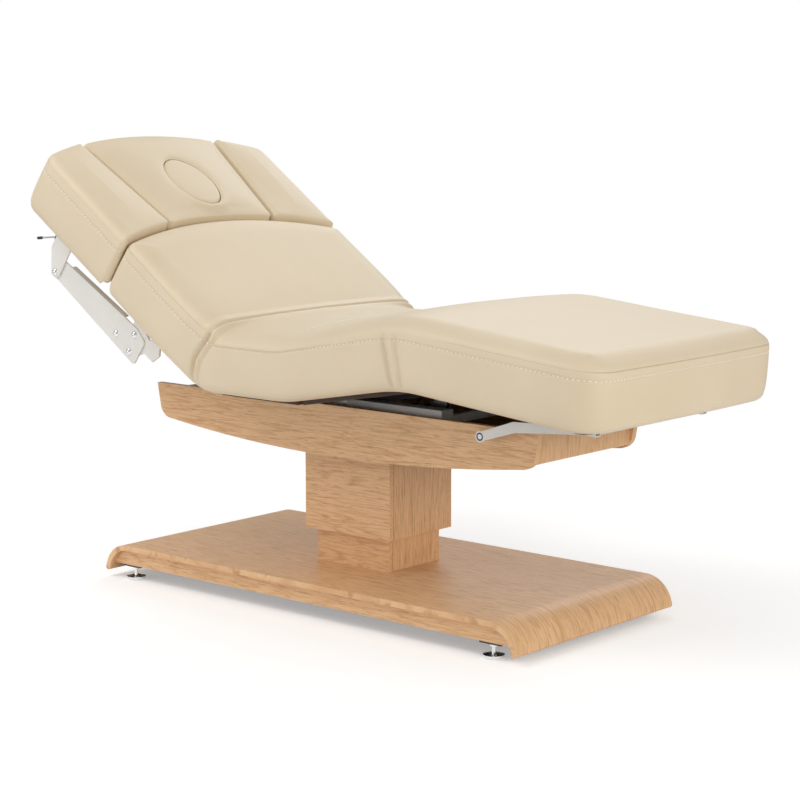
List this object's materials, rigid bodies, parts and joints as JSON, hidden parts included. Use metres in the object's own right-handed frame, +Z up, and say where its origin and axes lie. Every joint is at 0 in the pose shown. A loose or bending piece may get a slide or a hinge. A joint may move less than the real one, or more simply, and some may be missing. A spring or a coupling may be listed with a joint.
{
  "type": "treatment bed",
  "caption": "Height-adjustable treatment bed: a wooden pedestal with a wide flat base, a boat-shaped tray and a jointed leather mattress with a headrest.",
  "frame": {"origin": "on the floor under the middle of the whole bed", "axes": "+X towards the foot end, +Y away from the pictured long side, +Z up"},
  "size_m": [1.8522, 0.778, 1.1338],
  "materials": {
    "leather": "soft cream upholstery leather, satin",
    "oak": "light oak, satin lacquer",
    "plywood": "dark stained plywood",
    "light_grey_metal": "light grey powder coat",
    "dark_metal": "black powder coat",
    "zinc_steel": "bright zinc",
    "chrome": "polished chrome",
    "black_plastic": "matt moulded plastic",
    "black_housing": "matt moulded housing"
  },
  "bodies": {
    "base": {"base_shell": "oak", "base_sides": "oak", "base_frame": "dark_metal", "levelling_feet": "chrome", "mains_inlet": "black_plastic", "lower_cover_front_back": "oak", "lower_cover_sides": "oak", "lift_stage_outer": "zinc_steel", "lift_nut_tube": "black_plastic"},
    "lift_middle": {"lift_stage_middle": "zinc_steel", "middle_glides": "black_plastic", "lift_screw_tube": "zinc_steel"},
    "carriage": {"lift_stage_inner": "zinc_steel", "inner_glides": "black_plastic", "lift_motor": "black_housing", "lift_screw": "zinc_steel", "top_plate": "dark_metal", "upper_cover_front_back": "oak", "upper_cover_sides": "oak", "tray_sides": "oak", "tray_end_panels": "oak", "tray_floor": "plywood", "tray_cross_bar": "dark_metal", "control_box": "black_plastic", "upper_frame": "light_grey_metal", "rail_caps": "light_grey_metal", "hinge_axles": "zinc_steel", "actuator_mounts": "dark_metal", "seat_board": "plywood", "seat_pad": "leather", "back_fold": "leather", "thigh_fold": "leather", "link_shaft": "zinc_steel"},
    "back": {"back_pad": "leather", "back_board": "plywood", "back_frame": "dark_metal", "head_arms": "light_grey_metal", "arm_brackets": "light_grey_metal", "arm_bolts": "chrome"},
    "headrest": {"head_board": "plywood", "head_rails": "dark_metal", "head_brackets": "light_grey_metal", "head_centre_cushion": "leather", "head_side_cushions": "leather"},
    "face_plug": {"face_plug": "leather"},
    "release_lever": {"release_lever": "zinc_steel", "release_grip": "black_plastic"},
    "thigh": {"thigh_pad": "leather", "thigh_board": "plywood", "thigh_frame": "dark_metal"},
    "leg": {"leg_pad": "leather", "leg_board": "plywood", "leg_frame": "light_grey_metal", "knee_fold": "leather"},
    "leg_links": {"leg_links": "light_grey_metal", "link_bushes": "black_plastic"},
    "back_actuator": {"back_actuator": "black_housing"},
    "back_actuator_rod": {"back_actuator_rod": "zinc_steel"},
    "thigh_actuator": {"thigh_actuator": "black_housing"},
    "thigh_actuator_rod": {"thigh_actuator_rod": "zinc_steel"}
  },
  "joints": [
    {"name": "lift", "type": "slide", "parent": "base", "child": "carriage", "axis": [0, 0, 1], "range_m": [-0.075, 0.105]},
    {"name": "lift_middle_stage", "type": "slide", "parent": "base", "child": "lift_middle", "axis": [0, 0, 1], "range_m": [-0.0376, 0.0526]},
    {"name": "back_tilt", "type": "hinge", "parent": "carriage", "child": "back", "pos_m": [-0.25907, 0, 0.506], "axis": [0, 1, 0], "range_deg": [-35, 35], "deforming": ["back_fold"]},
    {"name": "thigh_tilt", "type": "hinge", "parent": "carriage", "child": "thigh", "pos_m": [0.02363, 0, 0.506], "axis": [0, -1, 0], "range_deg": [-10.25, 4.75], "deforming": ["thigh_fold"]},
    {"name": "knee", "type": "hinge", "parent": "thigh", "child": "leg", "pos_m": [0.371, 0, 0.56881], "axis": [0, 1, 0], "range_deg": [-15.76, 7.31], "deforming": ["knee_fold"]},
    {"name": "link_swing", "type": "hinge", "parent": "carriage", "child": "leg_links", "pos_m": [0.50713, 0, 0.485], "axis": [0, -1, 0], "range_deg": [-4.21, 1.96]},
    {"name": "back_actuator_swing", "type": "hinge", "parent": "carriage", "child": "back_actuator", "pos_m": [0.06413, 0, 0.44], "axis": [0, -1, 0], "range_deg": [-4.74, 4.74]},
    {"name": "back_actuator_stroke", "type": "slide", "parent": "back_actuator", "child": "back_actuator_rod", "axis": [-0.9997, 0, 0.0238], "range_m": [-0.0344, 0.0344]},
    {"name": "thigh_actuator_swing", "type": "hinge", "parent": "carriage", "child": "thigh_actuator", "pos_m": [-0.01587, 0, 0.44], "axis": [0, -1, 0], "range_deg": [-8.22, 3.82]},
    {"name": "thigh_actuator_stroke", "type": "slide", "parent": "thigh_actuator", "child": "thigh_actuator_rod", "axis": [0.9641, 0, 0.2655], "range_m": [-0.00986, 0.00458]},
    {"name": "headrest_tilt", "type": "hinge", "parent": "back", "child": "headrest", "pos_m": [-0.80131, 0, 0.78802], "axis": [0, -1, 0], "range_deg": [0, 35]},
    {"name": "release_lever", "type": "hinge", "parent": "headrest", "child": "release_lever", "pos_m": [-0.81244, -0.315, 0.8715], "axis": [0, 1, 0], "range_deg": [0, 15]},
    {"name": "face_plug_lift", "type": "slide", "parent": "headrest", "child": "face_plug", "axis": [0.5736, 0, 0.8192], "range_m": [0, 0.12]}
  ],
  "couplings": [
    {"joint": "lift_middle_stage", "follows": "lift", "ratio": 0.5},
    {"joint": "knee", "follows": "thigh_tilt", "ratio": 1.5366},
    {"joint": "link_swing", "follows": "thigh_tilt", "ratio": 0.41},
    {"joint": "back_actuator_swing", "follows": "back_tilt", "ratio": -0.135},
    {"joint": "back_actuator_stroke", "follows": "back_tilt", "m_per_rad": 0.05615},
    {"joint": "thigh_actuator_swing", "follows": "thigh_tilt", "ratio": 0.8},
    {"joint": "thigh_actuator_stroke", "follows": "thigh_tilt", "m_per_rad": 0.055004}
  ]
}
